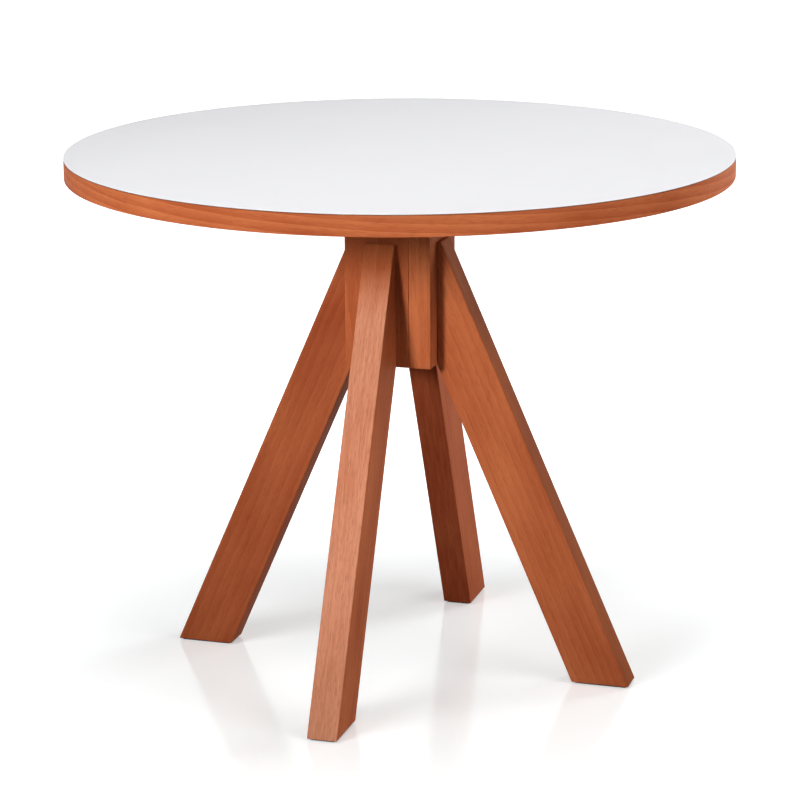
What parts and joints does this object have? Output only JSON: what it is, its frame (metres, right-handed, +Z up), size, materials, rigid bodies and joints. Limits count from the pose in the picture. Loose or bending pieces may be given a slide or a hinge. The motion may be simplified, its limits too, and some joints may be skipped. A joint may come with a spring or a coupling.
{
  "type": "dining table",
  "caption": "Round dining table with a white laminate top, a wood-banded rim and splayed plank legs bolted to a square hollow hub.",
  "frame": {"origin": "on the floor, under the middle of the round top", "axes": "+Z up; the hub's faces look along +X, -X, +Y and -Y, with one leg on each, and the front leg is along -Y"},
  "size_m": [0.93, 0.93, 0.75],
  "materials": {
    "white_laminate": "cool white pressed laminate, satin",
    "cherry_veneer": "reddish-brown wood band, grain along the rim, satin lacquer",
    "fibreboard": "raw fibreboard",
    "balancing_laminate": "plain grey balancing sheet, matt",
    "birch_plywood": "raw birch plywood",
    "cherry_hub": "reddish-brown stained wood, grain upright, satin lacquer",
    "cherry_leg": "reddish-brown stained wood, grain along the leg, satin lacquer",
    "beech_dowel": "raw beech",
    "black_glide_plastic": "black moulded plastic",
    "black_bolt_steel": "black oxide steel",
    "zinc_washer": "bright zinc plate",
    "brass_insert": "plain brass",
    "yellow_zinc_screw": "yellow zinc plate"
  },
  "bodies": {
    "root": {"top_laminate": "white_laminate", "top_core": "fibreboard", "backing_sheet": "balancing_laminate", "edge_band": "cherry_veneer", "mounting_plate": "birch_plywood", "hub_board_front": "cherry_hub", "leg_front": "cherry_leg", "foot_glide_front": "black_glide_plastic", "leg_bolt_front_lower": "black_bolt_steel", "bolt_washer_front_lower": "zinc_washer", "threaded_insert_front_lower": "brass_insert", "leg_bolt_front_upper": "black_bolt_steel", "bolt_washer_front_upper": "zinc_washer", "threaded_insert_front_upper": "brass_insert", "leg_dowel_front": "beech_dowel", "hub_screw_front": "yellow_zinc_screw", "top_screw_front_1": "yellow_zinc_screw", "top_screw_front_2": "yellow_zinc_screw", "hub_board_right": "cherry_hub", "leg_right": "cherry_leg", "foot_glide_right": "black_glide_plastic", "leg_bolt_right_lower": "black_bolt_steel", "bolt_washer_right_lower": "zinc_washer", "threaded_insert_right_lower": "brass_insert", "leg_bolt_right_upper": "black_bolt_steel", "bolt_washer_right_upper": "zinc_washer", "threaded_insert_right_upper": "brass_insert", "leg_dowel_right": "beech_dowel", "hub_screw_right": "yellow_zinc_screw", "top_screw_right_1": "yellow_zinc_screw", "top_screw_right_2": "yellow_zinc_screw", "hub_board_rear": "cherry_hub", "leg_rear": "cherry_leg", "foot_glide_rear": "black_glide_plastic", "leg_bolt_rear_lower": "black_bolt_steel", "bolt_washer_rear_lower": "zinc_washer", "threaded_insert_rear_lower": "brass_insert", "leg_bolt_rear_upper": "black_bolt_steel", "bolt_washer_rear_upper": "zinc_washer", "threaded_insert_rear_upper": "brass_insert", "leg_dowel_rear": "beech_dowel", "hub_screw_rear": "yellow_zinc_screw", "top_screw_rear_1": "yellow_zinc_screw", "top_screw_rear_2": "yellow_zinc_screw", "hub_board_left": "cherry_hub", "leg_left": "cherry_leg", "foot_glide_left": "black_glide_plastic", "leg_bolt_left_lower": "black_bolt_steel", "bolt_washer_left_lower": "zinc_washer", "threaded_insert_left_lower": "brass_insert", "leg_bolt_left_upper": "black_bolt_steel", "bolt_washer_left_upper": "zinc_washer", "threaded_insert_left_upper": "brass_insert", "leg_dowel_left": "beech_dowel", "hub_screw_left": "yellow_zinc_screw", "top_screw_left_1": "yellow_zinc_screw", "top_screw_left_2": "yellow_zinc_screw"}
  },
  "joints": []
}
